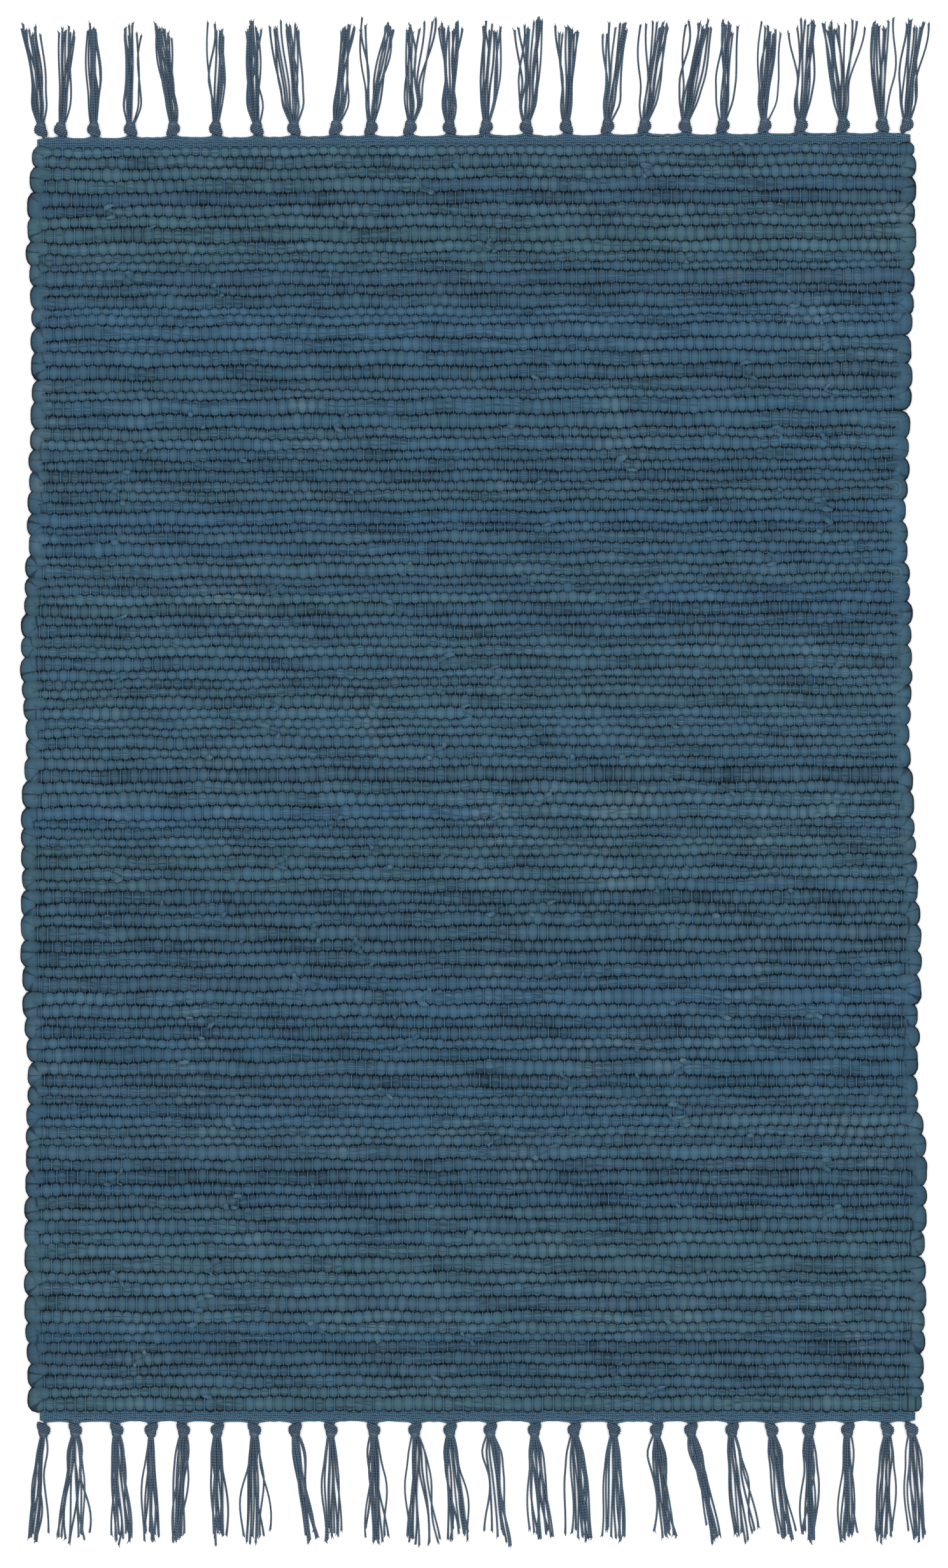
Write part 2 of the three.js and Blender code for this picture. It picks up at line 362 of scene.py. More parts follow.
    def _guide(self, name: str, paths: list[Path]) -> bpy.types.Object:
        """Makes the guide's mesh of points and edges, in metres.

        Args:
            name: The name of the piece that it is for.
            paths: The strands to follow.

        Returns:
            The guide.
        """
        counts = [len(path.points) for path in paths]
        starts = np.concatenate([[0], np.cumsum(counts)])
        numbers = np.arange(starts[-1])
        edges = np.concatenate(
            [np.stack([numbers[a : b - 1], numbers[a + 1 : b]], 1) for a, b in zip(starts, starts[1:])]
        )
        mesh = bpy.data.meshes.new(f"{name}_guide")
        points = np.concatenate([path.points for path in paths]) * MM
        mesh.vertices.add(len(points))
        mesh.vertices.foreach_set("co", points.astype(np.float32).ravel())
        mesh.edges.add(len(edges))
        mesh.edges.foreach_set("vertices", edges.astype(np.int32).ravel())
        values = {
            "half_width": np.concatenate([path.half_width for path in paths]) * MM,
            "half_height": np.concatenate([path.half_height for path in paths]) * MM,
            "travel": np.concatenate([path.travel for path in paths]),
            "strip": np.repeat([path.strip for path in paths], counts),
        }
        for key, value in values.items():
            mesh.attributes.new(key, "FLOAT", "POINT").data.foreach_set("value", value.astype(np.float32))
        guide = bpy.data.objects.new(mesh.name, mesh)
        bpy.context.scene.collection.objects.link(guide)
        return guide


@dataclass(frozen=True)
class RagCloth:
    """Cotton cloth torn into strips, dyed blue and washed: matt, soft, and creased where it is folded in, with
    painted shade in its folds, between its rows and on its loops.

    Attributes:
        name: The material's name.
        shades: The dyes of the strips, which take up colour unevenly.
        fold_shade: Painted shade: the colour in a fold, where little light gets in.
        worn: The colour of rubbed places.
        crease_length: How far one fold runs along a strip, in millimetres.
        ruck: Distance from fold to fold in a loop at the side, in millimetres.
        thread: Spacing of the cloth's own threads, in millimetres, drawn coarse enough to show.
        patch: Size of rubbed places, in millimetres.
        stain: Size of places where the dye took unevenly, in millimetres.
        selvedge: Distance from the rug's middle to where the loops begin, in millimetres.
        painted_loop_shade: Painted shade: how bright the loops are painted beside the rows.
        middle: Height halfway through the rug, in millimetres.
        roughness: Matt cotton.
    """

    name: str = "washed_cotton_rag"
    shades: tuple[str, ...] = ("#38586d", "#405e6f", "#3a5a72", "#42606d", "#3b576b", "#456373")
    fold_shade: str = "#182a36"
    worn: str = "#6b7d82"
    crease_length: float = 42.0
    ruck: float = 2.6
    thread: float = 0.7
    patch: float = 70.0
    stain: float = 26.0
    selvedge: float = 286.0
    painted_loop_shade: float = 0.86
    middle: float = 3.05
    roughness: float = 0.95

    def material(self) -> bpy.types.Material:
        """Builds the material.

        Returns:
            The finished material.
        """
        material = bpy.data.materials.new(self.name)
        material.use_nodes = True
        material.node_tree.nodes.clear()
        add = partial(add_node, material.node_tree)
        strip = add("ShaderNodeAttribute", attribute_name="strip").outputs["Fac"]
        travel = add("ShaderNodeAttribute", attribute_name="travel").outputs["Fac"]
        turn = add("ShaderNodeAttribute", attribute_name="turn").outputs["Vector"]
        place = add("ShaderNodeTexCoord").outputs["Object"]

        # Each strip has taken the dye in its own shade.
        pick = add("ShaderNodeTexWhiteNoise", {"W": strip}, noise_dimensions="1D").outputs["Value"]
        ramp = add("ShaderNodeValToRGB", {"Fac": pick})
        while len(ramp.color_ramp.elements) < len(self.shades):
            ramp.color_ramp.elements.new(0.5)
        for number, shade in enumerate(self.shades):
            ramp.color_ramp.elements[number].position = number / (len(self.shades) - 1)
            ramp.color_ramp.elements[number].color = linear(shade)

        # The dye is uneven along a strip as well.
        noise = {"Vector": place, "W": strip, "Scale": 1 / (self.stain * MM), "Detail": 2.0}
        stain = add("ShaderNodeTexNoise", noise, noise_dimensions="4D").outputs["Fac"]
        span = {"Value": stain, "From Min": 0.3, "From Max": 0.7, "To Min": 0.92, "To Max": 1.08}
        tone = add("ShaderNodeMapRange", span).outputs["Result"]

        # Folds run along a strip as thin lines of painted shade, in some stretches and not in others.
        apart = {0: travel, 1: 1 / self.crease_length}
        apart = add("ShaderNodeMath", apart, operation="MULTIPLY").outputs[0]
        along = add("ShaderNodeCombineXYZ", {"Z": apart}).outputs["Vector"]
        around = add("ShaderNodeVectorMath", {0: turn, "Scale": 2.0}, operation="SCALE").outputs["Vector"]
        where = add("ShaderNodeVectorMath", {0: along, 1: around}, operation="ADD").outputs["Vector"]
        noise = {"Vector": where, "W": strip, "Scale": 1.0, "Detail": 1.0, "Roughness": 0.35}
        folds = add("ShaderNodeTexNoise", noise, noise_dimensions="4D").outputs["Fac"]
        gap = add("ShaderNodeMath", {0: folds, 1: 0.5}, operation="SUBTRACT").outputs[0]
        gap = add("ShaderNodeMath", {0: gap}, operation="ABSOLUTE").outputs[0]
        span = {"Value": gap, "From Max": 0.05, "To Min": 0.65, "To Max": 0.0}
        line = add("ShaderNodeMapRange", span).outputs["Result"]
        noise = {"Vector": along, "W": strip, "Scale": 0.9, "Detail": 0.0}
        stretch = add("ShaderNodeTexNoise", noise, noise_dimensions="4D").outputs["Fac"]
        span = {"Value": stretch, "From Min": 0.42, "From Max": 0.56}
        shown = add("ShaderNodeMapRange", span).outputs["Result"]
        line = add("ShaderNodeMath", {0: line, 1: shown}, operation="MULTIPLY").outputs[0]

        # In the loops at the sides it is rucked instead, in folds that run out from the last stitch, and these
        # rucks are painted as thin lines of shade as well.
        out = add("ShaderNodeSeparateXYZ", {0: place}).outputs["X"]
        out = add("ShaderNodeMath", {0: out}, operation="ABSOLUTE").outputs[0]
        span = {"Value": out, "From Min": self.selvedge * MM, "From Max": (self.selvedge + 8) * MM}
        looped = add("ShaderNodeMapRange", span).outputs["Result"]
        closer = {0: along, "Scale": self.crease_length / self.ruck}
        closer = add("ShaderNodeVectorMath", closer, operation="SCALE").outputs["Vector"]
        noise = {"Vector": closer, "W": strip, "Scale": 1.0, "Detail": 1.0}
        rucks = add("ShaderNodeTexNoise", noise, noise_dimensions="4D").outputs["Fac"]
        span = {"Value": rucks, "From Min": 0.36, "From Max": 0.46, "To Min": 0.75, "To Max": 0.0}
        rucks = add("ShaderNodeMapRange", span).outputs["Result"]
        blend = {"Factor": looped, "A": line, "B": rucks}
        line = add("ShaderNodeMix", blend, data_type="FLOAT").outputs["Result"]

        # Wear greys the crowns of the rows in broad patches.
        noise = {"Vector": place, "Scale": 1 / (self.patch * MM), "Detail": 4.0, "Roughness": 0.7}
        patch = add("ShaderNodeTexNoise", noise).outputs["Fac"]
        span = {"Value": patch, "From Min": 0.54, "From Max": 0.78, "To Max": 0.5}
        patch = add("ShaderNodeMapRange", span).outputs["Result"]
        height = add("ShaderNodeSeparateXYZ", {0: place}).outputs["Z"]
        height = add("ShaderNodeMath", {0: height, 1: self.middle * MM}, operation="SUBTRACT").outputs[0]
        height = add("ShaderNodeMath", {0: height}, operation="ABSOLUTE").outputs[0]
        span = {"Value": height, "From Min": 1.4 * MM, "From Max": 2.8 * MM}
        crown = add("ShaderNodeMapRange", span).outputs["Result"]
        rubbed = add("ShaderNodeMath", {0: patch, 1: crown}, operation="MULTIPLY").outputs[0]
        colour = ramp.outputs["Color"]
        # Mixes in the grey of wear, then the painted shade of the folds and rucks.
        for factor, tint in ((rubbed, self.worn), (line, self.fold_shade)):
            blend = {"Factor": factor, 6: colour, 7: linear(tint)}
            colour = add("ShaderNodeMix", blend, data_type="RGBA").outputs[2]

        # Painted shade: the colour is darker between the rows, grows lighter up the rows' sides to their crowns,
        # and is darker again on the loops; the uneven dye is multiplied in too.
        span = {"Value": height, "From Min": 0.9 * MM, "From Max": 1.9 * MM, "To Min": 0.36}
        depth = add("ShaderNodeMapRange", span).outputs["Result"]
        span = {"Value": height, "From Min": 1.2 * MM, "From Max": 3.3 * MM, "To Min": 0.5, "To Max": 1.08}
        painted_bead_shading = add("ShaderNodeMapRange", span).outputs["Result"]
        depth = add("ShaderNodeMath", {0: depth, 1: painted_bead_shading}, operation="MULTIPLY").outputs[0]
        span = {"Value": looped, "To Min": 1.0, "To Max": self.painted_loop_shade}
        painted_loop_shade = add("ShaderNodeMapRange", span).outputs["Result"]
        depth = add("ShaderNodeMath", {0: depth, 1: painted_loop_shade}, operation="MULTIPLY").outputs[0]
        depth = add("ShaderNodeMath", {0: depth, 1: tone}, operation="MULTIPLY").outputs[0]
        shaded_and_stained = {0: colour, "Scale": depth}
        colour = add("ShaderNodeVectorMath", shaded_and_stained, operation="SCALE").outputs["Vector"]

        # The cloth's own threads give a fine grain, and the folds are sunk.
        noise = {"Vector": place, "Scale": 1 / (self.thread * MM), "Detail": 2.0}
        grain = add("ShaderNodeTexNoise", noise).outputs["Fac"]
        relief = add("ShaderNodeMath", {0: grain, 1: 0.35}, operation="MULTIPLY").outputs[0]
        relief = add("ShaderNodeMath", {0: relief, 1: line}, operation="SUBTRACT").outputs[0]
        bump = {"Height": relief, "Strength": 0.6, "Distance": 0.4 * MM}
        normal = add("ShaderNodeBump", bump).outputs["Normal"]
        finish = {"Base Color": colour, "Roughness": self.roughness, "Specular IOR Level": 0.15, "Normal": normal}
        shader = add("ShaderNodeBsdfPrincipled", finish).outputs["BSDF"]
        add("ShaderNodeOutputMaterial", {"Surface": shader})
        return material


@dataclass(frozen=True)
class CottonYarn:
    """Plied cotton yarn, dyed with the rug: matt, with a slanting groove between its plies that is painted darker
    as shade.

    Attributes:
        name: The material's name.
        light: The colour of a ply's crown.
        dark: Painted shade: the colour in the groove between plies.
        pitch: Distance from one ply to the next along the yarn, in millimetres.
        roughness: Matt cotton.
    """

    name: str
    light: str
    dark: str
    pitch: float = 1.9
    roughness: float = 0.92

    def material(self) -> bpy.types.Material:
        """Builds the material.

        Returns:
            The finished material.
        """
        material = bpy.data.materials.new(self.name)
        material.use_nodes = True
        material.node_tree.nodes.clear()
        add = partial(add_node, material.node_tree)
        strip = add("ShaderNodeAttribute", attribute_name="strip").outputs["Fac"]
        travel = add("ShaderNodeAttribute", attribute_name="travel").outputs["Fac"]
        turn = add("ShaderNodeAttribute", attribute_name="turn").outputs["Vector"]

        # Two plies wind round each other, so their crowns pass a fixed side once in each pitch.
        wind = {0: travel, 1: math.pi / self.pitch}
        wind = add("ShaderNodeMath", wind, operation="MULTIPLY").outputs[0]
        cosine = add("ShaderNodeMath", {0: wind}, operation="COSINE").outputs[0]
        sine = add("ShaderNodeMath", {0: wind}, operation="SINE").outputs[0]
        way = add("ShaderNodeCombineXYZ", {"X": cosine, "Y": sine}).outputs["Vector"]
        ply = add("ShaderNodeVectorMath", {0: turn, 1: way}, operation="DOT_PRODUCT").outputs["Value"]
        ply = add("ShaderNodeMath", {0: ply}, operation="ABSOLUTE").outputs[0]

        # No two yarns took the dye alike.
        pick = add("ShaderNodeTexWhiteNoise", {"W": strip}, noise_dimensions="1D").outputs["Value"]
        span = {"Value": pick, "To Min": 0.82, "To Max": 1.16}
        tone = add("ShaderNodeMapRange", span).outputs["Result"]
        # Painted shade: the groove between the plies is coloured darker than their crowns.
        ramp = add("ShaderNodeValToRGB", {"Fac": ply})
        ramp.color_ramp.elements[0].color = linear(self.dark)
        ramp.color_ramp.elements[1].color = linear(self.light)
        ramp.color_ramp.elements[1].position = 0.6
        tinted = {0: ramp.outputs["Color"], "Scale": tone}
        colour = add("ShaderNodeVectorMath", tinted, operation="SCALE").outputs["Vector"]
        bump = {"Height": ply, "Strength": 0.8, "Distance": 0.3 * MM}
        normal = add("ShaderNodeBump", bump).outputs["Normal"]
        finish = {"Base Color": colour, "Roughness": self.roughness, "Specular IOR Level": 0.15, "Normal": normal}
        shader = add("ShaderNodeBsdfPrincipled", finish).outputs["BSDF"]
        add("ShaderNodeOutputMaterial", {"Surface": shader})
        return material


@dataclass
class RowPlan:
    """Where the rows of the woven body lie, read from its solid.

    Attributes:
        node: The solid.
        valley: Height of the solid's lines between rows.
        rim: Height of its outermost edge at the sides.
        waves: How each line wanders between the solid's points, as depth and length in millimetres.
        seed: Fixes the wander.
        lines: Places of each line at the left, the middle and the right.
        crests: Height of each row.
        rims: Places of the outermost edge, by side.
        phases: Where each line's waves start.
    """

    node: str = "woven_body"
    valley: float = 3.8
    rim: float = 3.0
    waves: tuple[tuple[float, float], ...] = ((0.55, 105.0), (0.4, 46.0))
    seed: int = 11
    lines: Array = field(init=False)
    crests: Array = field(init=False)
    rims: dict[Side, Array] = field(init=False)
    phases: Array = field(init=False)

    def __post_init__(self) -> None:
        """Reads the solid."""
        points = solid_points(self.node)
        across, height = points[:, 0], points[:, 2]
        middle = np.abs(across) < 100
        on_line = np.abs(height - self.valley) < 0.03
        places = ((-across > 200, Side.LEFT), (middle, Side.RIGHT), (across > 200, Side.RIGHT))
        self.lines = np.stack([self._inner(points[on_line & near], side) for near, side in places], axis=1)
        crowns = points[middle & (height > self.valley + 0.5)]
        self.crests = crowns[np.argsort(crowns[:, 1])][::2, 2]
        self.rims = {}
        for side in Side:
            edge = points[(np.abs(height - self.rim) < 0.03) & (side.value * across > 200)]
            self.rims[side] = edge[np.argsort(edge[:, 1])][:, :2]
        rng = np.random.default_rng(self.seed)
        self.phases = rng.uniform(0, 2 * math.pi, (len(self.lines), len(self.waves)))

    @staticmethod
    def _inner(points: Array, side: Side) -> Array:
        """Keeps the innermost point at each place along the rug.

        Args:
            points: Points near one side.
            side: Which side it is.

        Returns:
            Across and along of one point to a line, from the near end.
        """
        points = points[np.lexsort((side.value * points[:, 0], points[:, 1]))]
        return points[np.unique(points[:, 1], return_index=True)[1]][:, :2]

    @property
    def count(self) -> int:
        """How many rows there are."""
        return len(self.lines) - 1

    def line_at(self, line: int, across: Array) -> Array:
        """Finds a line between two rows.

        Args:
            line: The line's number from the near end.
            across: Places across the rug.

        Returns:
            Its place along the rug at each.
        """
        along = np.interp(across, self.lines[line, :, 0], self.lines[line, :, 1])
        if 0 < line < self.count:
            for (depth, length), phase in zip(self.waves, self.phases[line]):
                along = along + depth * np.sin(2 * math.pi * across / length + phase)
        return along

    def row_at(self, row: int, across: Array) -> tuple[Array, Array]:
        """Finds a row's middle line and half width.

        Args:
            row: The row's number from the near end.
            across: Places across the rug.

        Returns:
            Its place along the rug and its half width at each.
        """
        lower, upper = self.line_at(row, across), self.line_at(row + 1, across)
        return (lower + upper) / 2, np.maximum((upper - lower) / 2, 2.2)

    def rim_at(self, side: Side, along: float) -> float:
        """How far out the solid reaches on a side at a place along the rug."""
        return float(np.interp(along, self.rims[side][:, 1], self.rims[side][:, 0]))


@dataclass
class Sett:
    """Where each end of the warp crosses each row.

    Attributes:
        rows: The rows.
        ends: How many ends there are.
        margin: How far the outer ends stand outside the solid's columns, in millimetres.
        sway: How far an end sways over many rows.
        stray: How far it strays from row to row.
        seed: Fixes both.
        across: Place of each end in each row.
    """

    rows: RowPlan
    ends: int = 174
    margin: float = 2.5
    sway: float = 0.35
    stray: float = 0.16
    seed: int = 3
    across: Array = field(init=False)

    def __post_init__(self) -> None:
        """Works out the places."""
        rng = np.random.default_rng(self.seed)
        middles = (self.rows.lines[:-1, :, 0] + self.rows.lines[1:, :, 0]) / 2
        left, right = middles[:, 0] - self.margin, middles[:, 2] + self.margin
        share = (np.arange(self.ends) + 0.5) / self.ends
        even = left[None] + share[:, None] * (right - left)[None]
        rate, phase = rng.uniform(0.05, 0.14, (self.ends, 1)), rng.uniform(0, 2 * math.pi, (self.ends, 1))
        sway = self.sway * np.sin(np.arange(self.rows.count)[None] * rate + phase)
        self.across = even + sway + rng.normal(0, self.stray, even.shape)

    def over(self, row: int) -> Array:
        """The ends that pass over a row, from the left."""
        return np.arange(row % 2, self.ends, 2)


@dataclass
class RagWeft:
    """The rag weft, which runs back and forth through the warp and turns in a loop at each side.

    Attributes:
        rows: The rows.
        sett: The warp.
        cloth: The finish.
        bands: Names of the pieces, from the near end.
        swell: How far a row swells between two stitches.
        drawn: How far it is drawn in at a stitch.
        uneven: How unlike each other the swellings are.
        groove: How deep a stitch is pulled into a row.
        sole: Height of a row's underside.
        shoulder: Where a row has its full size again beside a stitch, as a share of the stitch's gap.
        loop_top: Height of the loops at the sides.
        loop_turn: How far a loop fans out to each side, in degrees.
        shortest: Shortest strip of rag.
        longest: Longest strip.
        joins_within: How far from the rug's middle two strips may meet.
        lap: How many places along the path two strips lie side by side where they meet.
        loose_ends: How many rag ends stand out besides those where strips meet.
        seed: Fixes everything uneven.
    """

    rows: RowPlan
    sett: Sett
    cloth: RagCloth
    bands: tuple[str, ...] = ("rag_weft_near", "rag_weft_middle", "rag_weft_far")
    swell: float = 0.85
    drawn: float = 0.75
    uneven: float = 0.14
    groove: float = 0.85
    sole: float = 0.4
    shoulder: float = 0.35
    loop_top: float = 6.2
    loop_turn: float = 76.0
    shortest: float = 450.0
    longest: float = 1300.0
    joins_within: float = 245.0
    lap: int = 4
    loose_ends: int = 70
    seed: int = 7

    def __post_init__(self) -> None:
        """Starts the unevenness."""
        self.rng = np.random.default_rng(self.seed)

    def _row(self, row: int) -> Array:
        """Lays out one row from the left.

        Args:
            row: The row's number.

        Returns:
            Across, along, up, half width and half height at each place.
        """
        stitches = self.sett.across[self.sett.over(row), row]
        gaps = np.diff(stitches)
        step = float(gaps.mean())
        after = stitches + self.shoulder * np.append(gaps, step)
        before = stitches - self.shoulder * np.insert(gaps, 0, step)
        across = np.stack([before, stitches, after], 1).ravel()
        pulled = np.tile([0.0, 1.0, 0.0], len(stitches))
        along, half_width = self.rows.row_at(row, across)
        bead = np.repeat(self.rng.normal(0, self.uneven, len(stitches) + 1), 3)[1 : len(across) + 1]
        bead = np.where(pulled > 0, 0, bead)
        half_width = half_width + np.where(pulled > 0, -self.drawn, self.swell) + bead
        top = self.rows.crests[row] + 0.8 * bead - self.groove * pulled + 0.15 * np.sin(across / 13 + row)
        return np.stack([across, along, (top + self.sole) / 2, half_width, (top - self.sole) / 2], 1)

    def _loop(self, side: Side, tip: Array, tail: Array) -> Array:
        """Lays out the loop from one row to the next, fanned out from the last stitch.

        Args:
            side: The side that it is on.
            tip: The last place of the row that it leaves.
            tail: The first place of the next row.

        Returns:
            Places as for a row, from tip to tail.
        """
        middle = (tip[1] + tail[1]) / 2
        rise = (tail[1] - tip[1] + tip[3] + tail[3]) / 2
        base = (tip[0] + tail[0]) / 2
        reach = self.rows.rim_at(side, middle) + side.value * 0.4 * self.rng.normal() - base
        turn = np.radians(np.linspace(-self.loop_turn, self.loop_turn, 9))
        out = reach * np.cos(turn) ** 0.34
        along = rise * np.sign(turn) * np.abs(np.sin(turn)) ** 0.9
        half_width = np.hypot(out, along) / 2
        up = np.full(len(turn), (self.loop_top + 0.2) / 2)
        half_height = np.array([2.75, 2.8, 2.9, 2.95, 3.0, 2.95, 2.9, 2.8, 2.75])
        return np.stack([base + out / 2, middle + along / 2, up, half_width, half_height], 1)

    def _tuck(self, side: Side, tip: Array, leaving: bool) -> Array:
        """Tucks in the weft's very first or last end.

        Args:
            side: The side that it is on.
            tip: The last place of the row.
            leaving: Whether the path goes outwards here.

        Returns:
            Places as for a row.
        """
        rim = self.rows.rim_at(side, tip[1])
        out = np.tile(tip, (3, 1))
        out[:, 0] = [tip[0] + 0.5 * (rim - tip[0]), rim - side.value * 2.2, rim - side.value * 0.4]
        out[:, 3] *= [1.05, 0.92, 0.5]
        out[:, 4] *= [1.05, 0.95, 0.6]
        return out if leaving else out[::-1]

    def _course(self) -> tuple[Array, Array]:
        """Lays out the whole weft, from the near end.

        Returns:
            Places as for a row, and for each whether strips may meet there.
        """
        rows = [self._row(row) for row in range(self.rows.count)]
        rows = [places if row % 2 else places[::-1] for row, places in enumerate(rows)]
        parts = [self._tuck(Side.RIGHT, rows[0][0], leaving=False)]
        free = [np.zeros(len(parts[0]), bool)]
        for row, places in enumerate(rows):
            side = Side.RIGHT if row % 2 else Side.LEFT
            last = row + 1 == self.rows.count
            tip = places[-1]
            turn = self._tuck(side, tip, leaving=True) if last else self._loop(side, tip, rows[row + 1][0])
            parts += [places, turn]
            free += [np.abs(places[:, 0]) < self.joins_within, np.zeros(len(turn), bool)]
        return np.concatenate(parts), np.concatenate(free)

    def _cuts(self, course: Array, free: Array) -> list[int]:
        """Picks where one strip ends and the next begins.

        Args:
            course: The whole weft.
            free: Where strips may meet.

        Returns:
            Numbers of places along it.
        """
        steps = np.linalg.norm(np.diff(course[:, :2], axis=0), axis=1)
        travel = np.concatenate([[0.0], np.cumsum(steps)])
        cuts: list[int] = []
        at = 0.0
        while True:
            at += self.rng.uniform(self.shortest, self.longest)
            place = int(np.searchsorted(travel, at))
            while place < len(course) and not free[place]:
                place += 1
            if place + self.lap >= len(course):
                return cuts
            cuts.append(place)

    def _strips(self) -> tuple[list[Path], list[Path]]:
        """Cuts the weft into strips that lie side by side where they meet.

        Returns:
            One path to a strip, and one to each rag end that stands out.
        """
        course, free = self._course()
        cuts = self._cuts(course, free)
        taper = np.linspace(0.34, 0.92, self.lap)
        sides = self.rng.choice([-1.0, 1.0], len(cuts))
        strips: list[Path] = []
        rag_ends: list[Path] = []
        for number, (start, stop) in enumerate(zip([0, *cuts], [*cuts, len(course)])):
            places = course[start : stop + self.lap if number < len(cuts) else stop].copy()
            for at_end, joined in ((False, number > 0), (True, number < len(cuts))):
                if not joined:
                    continue
                lapped = slice(len(places) - self.lap, None) if at_end else slice(0, self.lap)
                share = taper[::-1] if at_end else taper
                side = sides[number] if at_end else -sides[number - 1]
                places[lapped, 1] += side * (1 - share) * places[lapped, 3]
                places[lapped, 2] += 0.25 * side * (1 - share)
                places[lapped, 3] *= share
                places[lapped, 4] *= 0.8 + 0.2 * share
                if at_end or self.rng.random() < 0.6:
                    rag_ends.append(self._rag_end(places[-1 if at_end else 0], side, number))
            strips.append(Path(places[:, :3], places[:, 3], places[:, 4], float(number)))
        for place in course[self.rng.choice(np.flatnonzero(free), self.loose_ends)]:
            side = self.rng.choice([-1.0, 1.0])
            start = place + [0, side * 0.7 * place[3], 0, 0, 0]
            rag_ends.append(self._rag_end(start, side, int(self.rng.integers(len(cuts)))))
        return strips, rag_ends

    def _rag_end(self, place: Array, side: float, strip: int) -> Path:
        """Lays out a crumpled end of rag that stands out between two rows.

        Args:
            place: Where it leaves the row.
            side: Which way it goes along the rug.
            strip: The strip that it belongs to.

        Returns:
            Its path.
        """
        rng = self.rng
        share = np.linspace(0, 1, 9)
        way = rng.uniform(-1.3, 1.3) + rng.uniform(-2.2, 2.2) * share[:-1]
        step = rng.uniform(4.0, 9.5) / 8
        across = place[0] + np.append(0, np.cumsum(np.sin(way) * step))
        along = place[1] + side * np.append(0, np.cumsum(np.cos(way) * step * 0.5))
        up = 4.5 + rng.uniform(0.9, 1.6) * np.sin(share * 2.4)
        width = rng.uniform(0.9, 1.8) * np.array([0.8, 1.0, 1.1, 1.2, 1.05, 1.2, 1.0, 0.8, 0.35])
        width = width * rng.uniform(0.75, 1.25, 9)
        height = rng.uniform(0.5, 0.75) * np.array([1.2, 1.0, 1.0, 0.9, 1.0, 0.9, 0.8, 0.7, 0.4])
        return Path(np.stack([across, along, up], 1), width, height, strip + 0.01)

    def build(self, sweep: Sweep) -> list[bpy.types.Object]:
        """Makes the bands of the weft.

        Args:
            sweep: The sweeping tree.

        Returns:
            The bands from the near end, and the rag ends.
        """
        material = self.cloth.material()
        sorted_strips: list[list[Path]] = [[] for _ in self.bands]
        low, high = self.rows.lines[0, 1, 1], self.rows.lines[-1, 1, 1]
        strips, rag_ends = self._strips()
        for strip in strips:
            share = (strip.points[:, 1].mean() - low) / (high - low)
            sorted_strips[min(int(share * len(self.bands)), len(self.bands) - 1)].append(strip)
        folds = {"fold_depth": 0.22, "fold_length": 14.0, "fold_count": 1.3}
        pieces = []
        for name, band in zip(self.bands, sorted_strips):
            pieces.append(sweep.make(name, band, material, sides=8, squareness=0.92, **folds))
        crumple = {"fold_depth": 0.55, "fold_length": 3.0, "fold_count": 1.6}
        pieces.append(sweep.make("rag_ends", rag_ends, material, sides=7, **crumple))
        for piece in pieces:
            fit(piece, Slot.WEAVE, self.rows.node)
        return pieces


